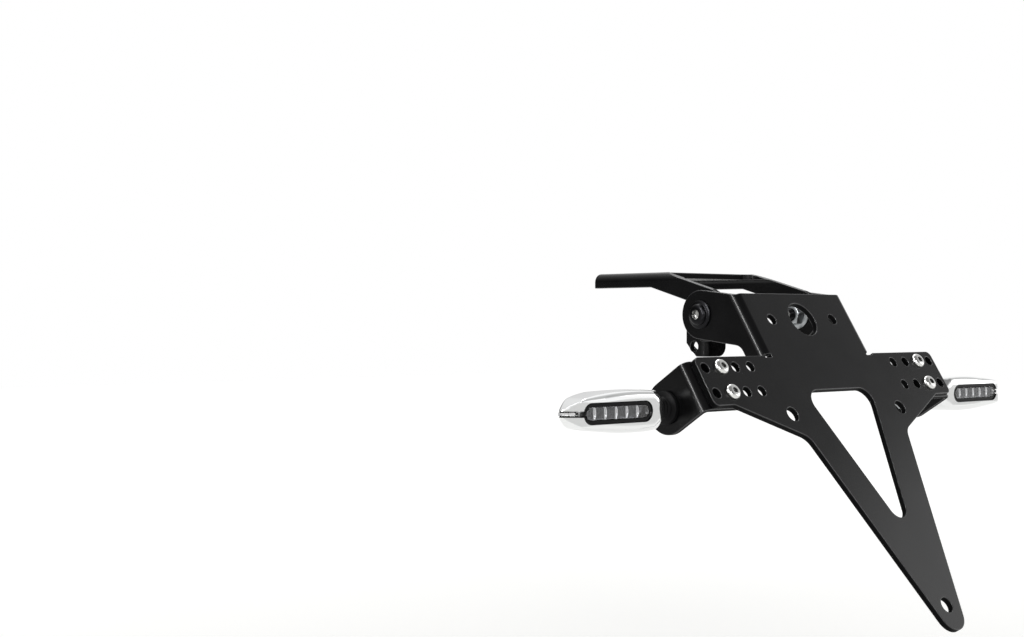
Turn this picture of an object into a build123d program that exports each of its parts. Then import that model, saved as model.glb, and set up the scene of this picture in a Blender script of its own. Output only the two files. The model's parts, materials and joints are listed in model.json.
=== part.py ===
from build123d import *
import math
import os

# Tail tidy for a motorbike: a folded plate holder that tilts on a bracket under the tail,
# with a light indicator on each side.
# The origin is the centre of the four tail bolts, on the bracket's top face.
# X runs to the right, Y to the front of the bike, Z up. All sizes are in millimetres.

# Sheet metal
sheet = 3.0                 # steel of the plate holder and of the tail bracket
bracket_sheet = 2.5         # steel of the indicator brackets
bend_inside = 1.5           # inside radius of every fold

# Plate holder: u runs across its face, v down the face from its top edge, w into the sheet
holder_lean = 32.5          # degrees from upright, foot towards the rear
neck_width = 80.0           # over the two ears
wing_top = 34.3
wing_depth = 24.6
wing_span = 176.5
wing_corner = 3.0
wing_foot_width = 151.0     # between the points where the wings' lower edges turn down to the leg
shoulder_v = 77.3           # where the leg begins
shoulder_radius = 8.0
leg_taper = 17.2            # degrees, each side
tip_radius = 8.25
tip_v = 167.4               # centre of the rounded tip
strip_width = 17.8          # sheet left on each side of the window
window_top = 53.5
window_corner = 7.0
window_end_radius = 6.0
relief_width = 2.0          # slot at the lower end of each ear's fold
relief_reach = 0.6          # of the slot past the ear's outer face

# Holes in the holder
cable_hole = 18.0
lamp_hole = 5.5
lamp_pitch = 45.5
top_hole_v = 14.7
plate_hole = 7.0
plate_pitch = 81.0
plate_hole_v = 65.2
lower_hole = 7.0
lower_hole_v = 163.8
slot_hole = 5.0             # rows of holes for the indicator brackets
slot_pitch = 10.0
slot_columns = 4
slot_edge = 4.5             # outermost column, from the wing's edge
slot_rows = (39.9, 52.7)

# Ears of the holder, folded forward
ear_radius = 11.8           # round end about the pivot
ear_lean = 39.0             # degrees from the holder's normal
ear_web = 10.6              # narrow part of the ear beside the fold
ear_web_fillet = 6.0
pivot_up = 3.2              # pivot above the holder's top edge, along the face
pivot_forward = 24.0        # pivot from the holder's face

# Tail bracket
bracket_gap = 1.0           # friction washer between an ear and an arm
arm_radius = 12.8
arm_rise = 15.5             # degrees, upper edge of the arms
pivot_back = 53.6           # pivot from the origin
pivot_drop = 21.25
web_rear = 22.0             # rear edge of the web, behind the origin
web_front = 24.0
web_corner = 6.0
side_depth = 7.5            # of the flanges beside the web
arm_depth = 9.5             # of the arms below their upper edge
lobe_drop = 20.3            # lower end of a lobe, below the pivot
lobe_cut = 6.5              # slanted front corner of a lobe
lobe_hole = 5.0
lobe_hole_back = 5.2        # hole from the arm's front edge
lobe_hole_drop = 15.4
tab_reach = 14.0            # inward tab, from the arm's outer face
tab_height = 8.0
tab_corner = 5.0
tab_back = 0.5              # rear face of the tab behind the pivot
tail_hole = 6.5
tail_pitch_x = 40.0
tail_pitch_y = 28.0

# Indicator brackets
bracket_width = 24.4
bracket_v = 46.85           # middle of the strip, down the holder's face
stud_forward = 22.4         # stud from the holder's face
flange_reach = 26.0         # flange behind the wing, from the wing's edge
flange_corner = 3.0

# M4 screws of the indicator brackets
m4_radius = 2.0
m4_head_radius = 3.8
m4_head_height = 2.2
m4_socket = 2.5
m4_length = 12.0
m4_nut_width = 7.0
m4_nut_height = 5.0
m4_washer_radius = 4.5
m4_washer = 0.8
m4_head_land = 0.6          # short straight side of the head
m4_head_chamfer = 0.3       # step in from the straight side to the sloping one
m4_crown_radius = 2.2       # flat top of the head, round the socket

# M6 pivot bolts
m6_radius = 3.0
m6_head_radius = 5.25
m6_crown_radius = 3.1
m6_head_height = 3.3
m6_flange_radius = 6.8
m6_flange = 1.0
m6_socket = 4.0
m6_length = 16.0
m6_nut_width = 10.0
m6_nut_height = 6.0
m6_nut_flange_radius = 7.1
m6_nut_flange = 1.4
friction_washer_radius = 8.0
hole_clearance = 0.2        # radial, bolt in a clearance hole
thread_clearance = 0.05     # radial, bolt in its nut

# M8 studs of the indicators
m8_radius = 4.0
m8_wire_radius = 2.2
m8_tail = 15.0              # free end behind the bracket's outer face
m8_root = 7.0               # length in the housing
m8_nut_width = 13.0
m8_nut_height = 6.5
m8_washer_radius = 8.0
m8_washer = 1.6

# Indicators: lengths run outward from the bracket's outer face
stem_length = 8.5
stem_flange_radius = 7.4
stem_flange = 2.2
stem_neck_radius = 5.0
housing_height = 17.9
housing_rear = 11.2         # flat rear side, behind the stud
housing_front = 8.0         # front side, ahead of the stud
rear_round = 3.0            # rounding of the long edges of the rear side
front_round = 7.0           # rounding of the long edges of the front side
inner_round_rear = 8.5      # rounding of the inner end, seen from above
inner_round_front = 5.0
inner_end = 1.5             # arc of the inner end goes on past the seat of the stem
shoulder = 8.0              # from the seat of the stem to the flanks
shoulder_height = 17.1
flank_bulge_height = 1.2    # rise of the curved flanks over their chord
nose_back = 3.0             # nose begins this far inside the lens end
nose_height = 13.4
nose_bulge_height = 1.0
tip_length = 6.8            # past the lens end
tip_height = 2.8
tip_rear = 5.2              # the tip's flat end reaches from here, behind the stud
tip_front = 3.0             # to here
lens_rim = 1.2              # rear side past the lens end
front_flat = 19.5           # straight part of the front side, from the seat of the stem
lens_start = 20.0           # inner end of the lens opening
lens_length = 40.5
lens_height = 9.2
lens_face = 10.7            # rear face of the lens, behind the stud
pocket_depth = 8.6
lens_sheet = 1.9
bezel_width = 1.9
bezel_recess = 0.2
fit_gap = 0.1               # between pieces set into the housing
fin_slot = 2.6
fin = 1.4                   # side lens in the slot of the tip
fin_recess = 0.6            # side lens below the housing's surface
board = 1.0
led_count = 6
led_size = 2.6
led_height = 1.2
cell_wall = 0.9             # walls of the reflector's cells

# Derived places
wing_half = wing_span / 2
neck_half = neck_width / 2
bend_outside = bend_inside + sheet
neck_flat = neck_half - bend_outside
wing_bottom = wing_top + wing_depth
arm_face = neck_half - sheet - bracket_gap
pivot = Vector(0, -pivot_back, -pivot_drop)
lean_sin = math.sin(math.radians(holder_lean))
lean_cos = math.cos(math.radians(holder_lean))
down_face = Vector(0, -lean_sin, -lean_cos)
into_face = Vector(0, lean_cos, -lean_sin)
holder_origin = pivot + down_face * pivot_up - into_face * pivot_forward
holder_plane = Plane(holder_origin, x_dir=(1, 0, 0), z_dir=into_face)
holder_place = Location(holder_plane)
slot_columns_u = [wing_half - slot_edge - column * slot_pitch for column in range(slot_columns)]
screw_column_u = slot_columns_u[1]
bracket_face = wing_half + bend_inside + bracket_sheet
stud_place = holder_plane.from_local_coords(Vector(0, bracket_v, stud_forward))
arm_front = pivot.Y + arm_radius
tab_face = pivot.Y - tab_back
lobe_rear = tab_face + bend_outside
lobe_bottom = pivot.Z - lobe_drop
web_mouth = arm_face - bend_outside
m4_grip = sheet + bracket_sheet
lens_end = lens_start + lens_length
shoulder_x = stem_length + shoulder
nose_x = lens_end - nose_back
tip_x = lens_end + tip_length
pocket_floor = lens_face - pocket_depth
board_face = pocket_floor + board
far = 400.0                 # longer than any piece
tiny = 0.001                # points nearer than this are one point


def mirrored(shape):
    return mirror(shape, about=Plane.YZ)


def both_sides(shape):
    return Compound(children=[shape, mirrored(shape)])


def polygon(*points):
    return make_face(Polyline(*points, close=True))


def rounded(sketch, radius, *points):
    # rounds the corners of a sketch that lie nearest to the points
    corners = []
    for point in points:
        away = lambda corner: (corner.center() - Vector(*point)).length
        corners.append(min(sketch.vertices(), key=away))
    return fillet(corners, radius)


def extrude_x(sketch, start, stop):
    # sketch in (y, z), extruded from x = start to x = stop
    return extrude(Plane.YZ.offset(start) * sketch, stop - start)


def revolve_x(profile):
    # profile in (x, radius), turned about the X axis
    return revolve(profile, Axis.X)


def hexagon_x(width, start, stop):
    return extrude_x(RegularPolygon(width / 2, 6, major_radius=False), start, stop)


def round_x(radius, start, stop):
    return extrude_x(Circle(radius), start, stop)


def ring_x(outside, inside, start, stop):
    return extrude_x(Circle(outside) - Circle(inside), start, stop)


def fold_section(start, near, outer_face, thickness, reach):
    # sheet that lies along x at height near and folds up to height reach, in (x, y)
    inner_face = outer_face - thickness
    corner = polygon(
        (start, near),
        (outer_face, near),
        (outer_face, reach),
        (inner_face, reach),
        (inner_face, near + thickness),
        (start, near + thickness),
    )
    corner = rounded(corner, bend_inside + thickness, (outer_face, near))
    return rounded(corner, bend_inside, (inner_face, near + thickness))


def extrude_v(section, start, stop):
    # section in (u, w), extruded down the holder from v = start to v = stop
    return extrude(Plane.XZ.offset(-stop) * section, stop - start)


# Plate holder
def leg_half(v):
    slope = math.tan(math.radians(leg_taper))
    return tip_radius / math.cos(math.radians(leg_taper)) + (tip_v - v) * slope


def tapered_end(center_v, radius):
    # points where a taper meets its round end
    across = radius * math.cos(math.radians(leg_taper))
    down = center_v + radius * math.sin(math.radians(leg_taper))
    return (across, down), (-across, down)


def holder_outline():
    right_end, left_end = tapered_end(tip_v, tip_radius)
    right = [
        (neck_flat, 0),
        (neck_flat, wing_top),
        (wing_half, wing_top),
        (wing_half, wing_bottom),
        (wing_foot_width / 2, wing_bottom),
        (leg_half(shoulder_v), shoulder_v),
        right_end,
    ]
    left = [(-u, v) for u, v in reversed(right)]
    outline = polygon(*right, *left)
    for side in (1, -1):
        outline = rounded(outline, shoulder_radius, (side * leg_half(shoulder_v), shoulder_v))
        wing_corners = [(side * wing_half, wing_top), (side * wing_half, wing_bottom)]
        outline = rounded(outline, wing_corner, *wing_corners)
    return outline + Pos(0, tip_v) * Circle(tip_radius)


def window_outline():
    edge = strip_width / math.cos(math.radians(leg_taper))
    slope = math.tan(math.radians(leg_taper))
    end_half = window_end_radius / math.cos(math.radians(leg_taper))
    end_v = tip_v - (end_half + edge - leg_half(tip_v)) / slope
    top_half = leg_half(window_top) - edge
    right_end, left_end = tapered_end(end_v, window_end_radius)
    outline = polygon((top_half, window_top), right_end, left_end, (-top_half, window_top))
    outline = rounded(outline, window_corner, (top_half, window_top), (-top_half, window_top))
    return outline + Pos(0, end_v) * Circle(window_end_radius)


def holder_holes():
    holes = Pos(0, top_hole_v) * Circle(cable_hole / 2)
    holes += Pos(0, lower_hole_v) * Circle(lower_hole / 2)
    for side in (1, -1):
        holes += Pos(side * lamp_pitch / 2, top_hole_v) * Circle(lamp_hole / 2)
        holes += Pos(side * plate_pitch / 2, plate_hole_v) * Circle(plate_hole / 2)
        for v in slot_rows:
            for u in slot_columns_u:
                holes += Pos(side * u, v) * Circle(slot_hole / 2)
        relief_end = neck_half + relief_reach - relief_width / 2
        relief = Rectangle(relief_end - neck_flat, relief_width, align=(Align.MIN, Align.CENTER))
        relief = Pos(neck_flat, 0) * relief + Pos(relief_end, 0) * Circle(relief_width / 2)
        relief = Pos(0, wing_top) * relief
        holes += relief if side > 0 else mirrored(relief)
    return holes


def ear_outline():
    # side view of an ear in (v, w)
    strap = Rectangle(4 * pivot_forward, 2 * ear_radius, align=(Align.MAX, Align.CENTER))
    strap += Circle(ear_radius)
    strap = Pos(-pivot_up, pivot_forward) * Rot(0, 0, 90 + ear_lean) * strap
    ear_end = wing_top - relief_width / 2
    outline = strap + Rectangle(ear_end, ear_web, align=(Align.MIN, Align.MIN))
    outline &= Pos(ear_end, 0) * Rectangle(far, far, align=(Align.MAX, Align.MIN))
    web_corners = [corner for corner in outline.vertices() if abs(corner.Y - ear_web) < tiny]
    inside_corner = min(web_corners, key=lambda corner: corner.X)
    outline = fillet([inside_corner], ear_web_fillet)
    return outline - Pos(-pivot_up, pivot_forward) * Circle(m6_radius + hole_clearance)


def number_plate_holder():
    face = extrude(holder_outline() - window_outline() - holder_holes(), sheet)
    section = fold_section(neck_flat, 0, neck_half, sheet, 3 * pivot_forward)
    ear = extrude_v(section, -2 * pivot_forward, wing_top) & extrude_x(ear_outline(), 0, neck_half)
    return holder_place * (face + ear + mirrored(ear))


# Tail bracket
def arm_outline():
    # side view in (y, z): round end at the pivot, arm rising to the web, lobe hanging below
    rise_sin = math.sin(math.radians(arm_rise))
    rise_cos = math.cos(math.radians(arm_rise))
    lower_edge = arm_radius - arm_depth
    strap_length = (pivot_drop - side_depth - lower_edge * rise_cos) / rise_sin
    strap = Rectangle(strap_length, arm_depth, align=(Align.MIN, Align.MAX))
    outline = Circle(arm_radius) + Rot(0, 0, arm_rise) * Pos(0, arm_radius) * strap
    outline = Pos(pivot.Y, pivot.Z) * outline
    outline += lobe_outline()
    outline &= Rectangle(far, far, align=(Align.CENTER, Align.MAX))
    level = Rectangle(web_front + web_rear, side_depth, align=(Align.MIN, Align.MAX))
    outline += Pos(-web_rear, 0) * level
    outline -= Pos(pivot.Y, pivot.Z) * Circle(m6_radius + hole_clearance)
    return outline - Pos(arm_front - lobe_hole_back, pivot.Z - lobe_hole_drop) * Circle(lobe_hole / 2)


def lobe_outline():
    return polygon(
        (lobe_rear, pivot.Z),
        (lobe_rear, lobe_bottom),
        (arm_front - lobe_cut, lobe_bottom),
        (arm_front, lobe_bottom + lobe_cut),
        (arm_front, pivot.Z),
    )


def inward_tab():
    # folded in from the rear edge of a lobe
    section = fold_section(arm_face - tab_reach, tab_face, arm_face, sheet, lobe_rear)
    tab = extrude(Plane.XY.offset(lobe_bottom) * section, tab_height)
    free_end = tab.edges().filter_by(Axis.Y).group_by(Axis.X)[0].sort_by(Axis.Z)
    return fillet(free_end[0], tab_corner)


def tail_bracket():
    back = Plane((0, -far / 2, 0), x_dir=(1, 0, 0), z_dir=(0, 1, 0))
    fold = extrude(back * fold_section(0, 0, arm_face, sheet, far / 2), far)
    half = fold & extrude_x(arm_outline(), 0, arm_face)
    right_corner = (web_mouth, -web_rear)
    left_corner = (-web_mouth, -web_rear)
    mouth = polygon((-web_mouth, -far), (web_mouth, -far), right_corner, left_corner)
    mouth = rounded(mouth, web_corner, right_corner, left_corner)
    half -= extrude(Plane.XY.offset(-sheet) * mouth, sheet)
    half += inward_tab()
    bracket = half + mirrored(half)
    for x in (-tail_pitch_x / 2, tail_pitch_x / 2):
        for y in (-tail_pitch_y / 2, tail_pitch_y / 2):
            bracket -= extrude(Plane.XY.offset(-sheet) * Pos(x, y) * Circle(tail_hole / 2), sheet)
    return bracket


# Fasteners, built along X with the seat at x = 0 and the head towards +x
def button_bolt(radius, length, head, crown, flange_radius, flange, socket):
    # head is its radius and height, crown the radius of its flat top
    head_radius, head_height = head
    tip = radius / 4
    bolt = revolve_x(polygon(
        (head_height, 0),
        (-length, 0),
        (-length, radius - tip),
        (tip - length, radius),
        (0, radius),
        (0, flange_radius),
        (flange, flange_radius),
        (flange, head_radius),
        (head_height, crown),
    ))
    return bolt - hexagon_x(socket, head_height - socket / 2, head_height)


def hex_nut(width, start, stop, bore):
    return hexagon_x(width, start, stop) - round_x(bore, start, stop)


def pivot_bolt():
    head = (m6_head_radius, m6_head_height)
    flange = (m6_flange_radius, m6_flange)
    bolt = button_bolt(m6_radius, m6_length, head, m6_crown_radius, *flange, m6_socket)
    return Pos(neck_half, pivot.Y, pivot.Z) * bolt


def pivot_nut():
    bore = m6_radius + thread_clearance
    nut = hex_nut(m6_nut_width, -m6_nut_height, 0, bore)
    nut += ring_x(m6_nut_flange_radius, bore, -m6_nut_flange, 0)
    return Pos(arm_face - sheet, pivot.Y, pivot.Z) * nut


def pivot_washer():
    washer = ring_x(friction_washer_radius, m6_radius + hole_clearance, 0, bracket_gap)
    return Pos(arm_face, pivot.Y, pivot.Z) * washer


def at_bracket_screws(fastener):
    # copies on the holder's face, with the heads outside the sheet
    places = [(side * screw_column_u, v) for side in (1, -1) for v in slot_rows]
    turned = Rot(0, 90, 0) * fastener
    return Compound(children=[holder_place * Pos(u, v, 0) * turned for u, v in places])


def bracket_screw():
    head = (m4_head_radius - m4_head_chamfer, m4_head_height)
    land = (m4_head_radius, m4_head_land)
    return button_bolt(m4_radius, m4_length, head, m4_crown_radius, *land, m4_socket)


def bracket_washer():
    return ring_x(m4_washer_radius, m4_radius + hole_clearance, -m4_grip - m4_washer, -m4_grip)


def bracket_nut():
    seat = -m4_grip - m4_washer
    return hex_nut(m4_nut_width, seat - m4_nut_height, seat, m4_radius + thread_clearance)


# Indicator brackets
def indicator_bracket():
    flange_end = wing_half - flange_reach
    section = fold_section(flange_end, sheet, bracket_face, bracket_sheet, 3 * stud_forward)
    top = bracket_v - bracket_width / 2
    strip = extrude_v(section, top, top + bracket_width)
    side = Pos(bracket_v, 0) * Rectangle(bracket_width, stud_forward, align=(Align.CENTER, Align.MIN))
    side += Pos(bracket_v, stud_forward) * Circle(bracket_width / 2)
    side -= Pos(bracket_v, stud_forward) * Circle(m8_radius + hole_clearance)
    strip &= extrude_x(side, 0, bracket_face)
    strip = fillet(strip.edges().filter_by(Axis.Z).group_by(Axis.X)[0], flange_corner)
    for v in slot_rows:
        hole = Pos(screw_column_u, v) * Circle(m4_radius + hole_clearance)
        strip -= extrude(Plane.XY.offset(sheet) * hole, bracket_sheet)
    return holder_place * strip


# Indicators, built along X from the bracket's outer face, rear side towards -Y
def housing_from_rear():
    # rear view in (x, z): round inner end, curved flanks, blunt tip
    half_shoulder = shoulder_height / 2
    half_nose = nose_height / 2
    half_tip = tip_height / 2
    flank = SagittaArc((shoulder_x, half_shoulder), (nose_x, half_nose), flank_bulge_height)
    nose = SagittaArc((nose_x, half_nose), (tip_x, half_tip), nose_bulge_height)
    inner = ThreePointArc(
        (shoulder_x, -half_shoulder),
        (stem_length - inner_end, 0),
        (shoulder_x, half_shoulder),
    )
    tip = Line((tip_x, half_tip), (tip_x, -half_tip))
    lower = [edge.mirror(Plane.XZ) for edge in (flank, nose)]
    return make_face([inner, flank, nose, tip, *lower])


def housing_from_above():
    # plan in (x, y): flat rear side, sloping end past the lens, curved front
    inner_rear = (stem_length, -housing_rear)
    inner_front = (stem_length, housing_front)
    front_end = (stem_length + front_flat, housing_front)
    sides = Polyline(
        front_end,
        inner_front,
        inner_rear,
        (lens_end + lens_rim, -housing_rear),
        (tip_x, -tip_rear),
        (tip_x, -tip_front),
    )
    front = TangentArc(front_end, (tip_x, -tip_front), tangent=(1, 0))
    plan = make_face([*sides.edges(), front])
    plan = rounded(plan, inner_round_rear, inner_rear)
    return rounded(plan, inner_round_front, inner_front)


def housing_from_end():
    # section in (y, z)
    half = housing_height / 2
    rear_corners = [(-housing_rear, half), (-housing_rear, -half)]
    front_corners = [(housing_front, -half), (housing_front, half)]
    section = polygon(*rear_corners, *front_corners)
    section = rounded(section, rear_round, *rear_corners)
    return rounded(section, front_round, *front_corners)


def housing_body():
    # the three views cut from one block
    rear_plane = Plane((0, far / 2, 0), x_dir=(1, 0, 0), z_dir=(0, -1, 0))
    body = extrude(rear_plane * housing_from_rear(), far)
    body &= extrude(Plane.XY.offset(-far / 2) * housing_from_above(), far)
    return body & extrude_x(housing_from_end(), 0, far)


def lens_slot(inset, near, depth):
    # round-ended block set into the rear side, its rear face at distance near from the stud
    outline = SlotOverall(lens_length - 2 * inset, lens_height - 2 * inset)
    place = Plane((lens_start + lens_length / 2, -near, 0), x_dir=(1, 0, 0), z_dir=(0, 1, 0))
    return extrude(place * outline, depth)


def fin_block(height, near, start):
    block = Box(far, far, height, align=(Align.MIN, Align.MAX, Align.CENTER))
    return Pos(start, -near, 0) * block


def indicator_housing():
    body = housing_body()
    body -= lens_slot(0, 2 * lens_face, 2 * lens_face - pocket_floor)
    body -= fin_block(fin_slot, pocket_floor, lens_end - lens_height / 2)
    body -= round_x(m8_radius + thread_clearance, 0, stem_length + m8_root)
    duct_start = Vector(stem_length + m8_root, 0, 0)
    duct = Vector(lens_start + lens_height / 2, -(pocket_floor + lens_face) / 2, 0) - duct_start
    return body - extrude(Plane(duct_start, z_dir=duct) * Circle(m8_wire_radius), duct.length)


def indicator_lens():
    plate = lens_slot(bezel_width + fit_gap, lens_face, lens_sheet)
    inset = Pos(-fin_recess, fin_recess, 0) * housing_body()
    bridge = fin_block(fin, lens_face - lens_sheet, lens_end - lens_height / 2)
    side_lens = fin_block(fin, pocket_floor + fit_gap, lens_end + fit_gap)
    return plate + ((bridge + side_lens) & inset)


def indicator_bezel():
    depth = lens_sheet - bezel_recess
    near = lens_face - bezel_recess
    ring = lens_slot(fit_gap, near, depth) - lens_slot(bezel_width, near, depth)
    return ring - fin_block(fin + 2 * fit_gap, 0, lens_end - lens_height / 2)


def cell_places():
    pitch = (lens_length - lens_height) / (led_count - 1)
    first = lens_start + lens_height / 2
    return [first + pitch * cell for cell in range(led_count)], pitch


def indicator_reflector():
    near = lens_face - lens_sheet
    depth = near - board_face
    block = lens_slot(fit_gap, near, depth)
    places, pitch = cell_places()
    opening = lens_height - 2 * bezel_width
    for x in places:
        block -= Pos(x, -near, 0) * Box(pitch - cell_wall, 2 * depth, opening)
    return block - fin_block(fin_slot, board_face, lens_end - bezel_width)


def indicator_board():
    return lens_slot(fit_gap, board_face, board)


def indicator_leds():
    places, pitch = cell_places()
    chip = Box(led_size, led_height, led_size, align=(Align.CENTER, Align.MAX, Align.CENTER))
    return [Pos(x, -board_face, 0) * chip for x in places]


def indicator_stem():
    profile = polygon(
        (0, m8_radius + fit_gap),
        (0, stem_flange_radius),
        (stem_flange, stem_flange_radius),
        (stem_flange + stem_flange_radius - stem_neck_radius, stem_neck_radius),
        (stem_length, stem_neck_radius),
        (stem_length, m8_radius + fit_gap),
    )
    return revolve_x(profile)


def indicator_stud():
    return ring_x(m8_radius, m8_wire_radius, -m8_tail, stem_length + m8_root)


def indicator_washer():
    seat = -bracket_sheet
    return ring_x(m8_washer_radius, m8_radius + hole_clearance, seat - m8_washer, seat)


def indicator_nut():
    seat = -bracket_sheet - m8_washer
    return hex_nut(m8_nut_width, seat - m8_nut_height, seat, m8_radius + thread_clearance)


def on_stud(shape):
    return Pos(bracket_face, stud_place.Y, stud_place.Z) * shape


pieces = {
    "tail_bracket": tail_bracket(),
    "pivot_bolts": both_sides(pivot_bolt()),
    "pivot_nuts": both_sides(pivot_nut()),
    "pivot_washers": both_sides(pivot_washer()),
    "number_plate_holder": number_plate_holder(),
    "bracket_screws": at_bracket_screws(bracket_screw()),
    "bracket_washers": at_bracket_screws(bracket_washer()),
    "bracket_nuts": at_bracket_screws(bracket_nut()),
    "indicator_studs": both_sides(on_stud(indicator_stud())),
    "indicator_washers": both_sides(on_stud(indicator_washer())),
    "indicator_nuts": both_sides(on_stud(indicator_nut())),
}
side_pieces = {
    "indicator_bracket": indicator_bracket(),
    "indicator_housing": on_stud(indicator_housing()),
    "indicator_lens": on_stud(indicator_lens()),
    "indicator_bezel": on_stud(indicator_bezel()),
    "indicator_reflector": on_stud(indicator_reflector()),
    "indicator_board": on_stud(indicator_board()),
    "indicator_leds": Compound(children=[on_stud(led) for led in indicator_leds()]),
    "indicator_stem": on_stud(indicator_stem()),
}
for name, shape in side_pieces.items():
    pieces[name + "_right"] = shape
    pieces[name + "_left"] = mirrored(shape)

os.makedirs("parts", exist_ok=True)
for name, shape in pieces.items():
    export_step(shape, f"parts/{name}.step")
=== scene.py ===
import bpy
import bmesh
import json
import math
from mathutils import Matrix, Vector


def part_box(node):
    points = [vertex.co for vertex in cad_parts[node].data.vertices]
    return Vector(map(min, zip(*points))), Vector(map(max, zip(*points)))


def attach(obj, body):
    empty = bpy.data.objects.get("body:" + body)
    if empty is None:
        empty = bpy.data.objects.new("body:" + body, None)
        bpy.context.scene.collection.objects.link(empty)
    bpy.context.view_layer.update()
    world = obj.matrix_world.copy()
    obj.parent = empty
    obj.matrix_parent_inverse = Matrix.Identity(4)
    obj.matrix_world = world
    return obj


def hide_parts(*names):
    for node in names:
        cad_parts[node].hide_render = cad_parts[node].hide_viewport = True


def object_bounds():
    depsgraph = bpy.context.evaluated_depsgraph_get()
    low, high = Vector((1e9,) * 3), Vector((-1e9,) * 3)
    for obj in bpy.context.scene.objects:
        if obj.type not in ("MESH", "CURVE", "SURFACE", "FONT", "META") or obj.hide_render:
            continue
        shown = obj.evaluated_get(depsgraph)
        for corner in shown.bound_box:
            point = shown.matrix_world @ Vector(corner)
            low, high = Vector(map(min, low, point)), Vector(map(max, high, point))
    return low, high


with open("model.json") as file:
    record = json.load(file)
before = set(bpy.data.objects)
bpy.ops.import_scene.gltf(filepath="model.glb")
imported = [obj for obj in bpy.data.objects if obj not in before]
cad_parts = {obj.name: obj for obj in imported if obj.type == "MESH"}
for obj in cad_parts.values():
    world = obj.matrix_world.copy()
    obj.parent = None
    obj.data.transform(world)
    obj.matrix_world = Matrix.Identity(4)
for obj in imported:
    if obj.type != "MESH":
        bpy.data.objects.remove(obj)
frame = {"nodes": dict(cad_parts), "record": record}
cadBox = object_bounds()
nodes = frame["nodes"]
mounts = {mount["name"]: mount for mount in frame["record"]["mounts"]}
scene = bpy.context.scene
millimetre = 0.001
sides = {"left": -1, "right": 1}
rearOfHolder = Vector(mounts["plate_bolts"]["axis"]).normalized()  # out of the holder's rear face
print("frame loaded:", len(nodes), "nodes")


# small helpers
def linear(hexColour, alpha=1.0):
    # sRGB hex to linear RGBA
    channels = [int(hexColour[i:i + 2], 16) / 255 for i in (1, 3, 5)]
    return [c / 12.92 if c <= 0.04045 else ((c + 0.055) / 1.055) ** 2.4 for c in channels] + [alpha]


def addNode(tree, kind, settings=None, inputs=None):
    # adds a node, sets its properties, then fills or links its inputs
    node = tree.nodes.new(kind)
    for name, value in (settings or {}).items():
        setattr(node, name, value)
    for key, value in (inputs or {}).items():
        if isinstance(value, bpy.types.NodeSocket):
            tree.links.new(value, node.inputs[key])
        else:
            node.inputs[key].default_value = value
    return node


def startMaterial(name, surface):
    # a material with its principled shader; surface gives the constant sockets
    material = bpy.data.materials.new(name)
    material.use_nodes = True
    tree = material.node_tree
    tree.nodes.clear()
    shader = addNode(tree, "ShaderNodeBsdfPrincipled", inputs=surface)
    addNode(tree, "ShaderNodeOutputMaterial", inputs={"Surface": shader.outputs["BSDF"]})
    place = addNode(tree, "ShaderNodeTexCoord").outputs["Object"]
    return material, tree, shader, place


def perMetre(sizeInMm):
    # noise scale whose features are about that size
    return 1 / (sizeInMm * millimetre)


# materials
def satinPowderCoat(name, look):
    # powder coat, sprayed and baked: deep black, satin, with an orange-peel skin and soft clouds
    # real peel is finer than here, and is drawn coarser to show
    material, tree, shader, place = startMaterial(name, {
        "IOR": 1.5, "Specular IOR Level": look["specular"]})
    cloud = addNode(tree, "ShaderNodeTexNoise", inputs={
        "Vector": place, "Scale": perMetre(look["cloud"]), "Detail": 4.0})
    tint = addNode(tree, "ShaderNodeValToRGB", inputs={"Fac": cloud.outputs["Fac"]})
    tint.color_ramp.elements[0].position = 0.35
    tint.color_ramp.elements[0].color = linear(look["dark"])
    tint.color_ramp.elements[1].position = 0.65
    tint.color_ramp.elements[1].color = linear(look["light"])
    peel = addNode(tree, "ShaderNodeTexNoise", inputs={
        "Vector": place, "Scale": perMetre(look["peel"]), "Detail": 2.0})
    rough = addNode(tree, "ShaderNodeMapRange", inputs={
        "Value": cloud.outputs["Fac"], "To Min": look["roughLow"], "To Max": look["roughHigh"]})
    bump = addNode(tree, "ShaderNodeBump", inputs={
        "Height": peel.outputs["Fac"], "Distance": look["peelDepth"] * millimetre, "Strength": 0.6})
    tree.links.new(tint.outputs["Color"], shader.inputs["Base Color"])
    tree.links.new(rough.outputs["Result"], shader.inputs["Roughness"])
    tree.links.new(bump.outputs["Normal"], shader.inputs["Normal"])
    return material


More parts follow.
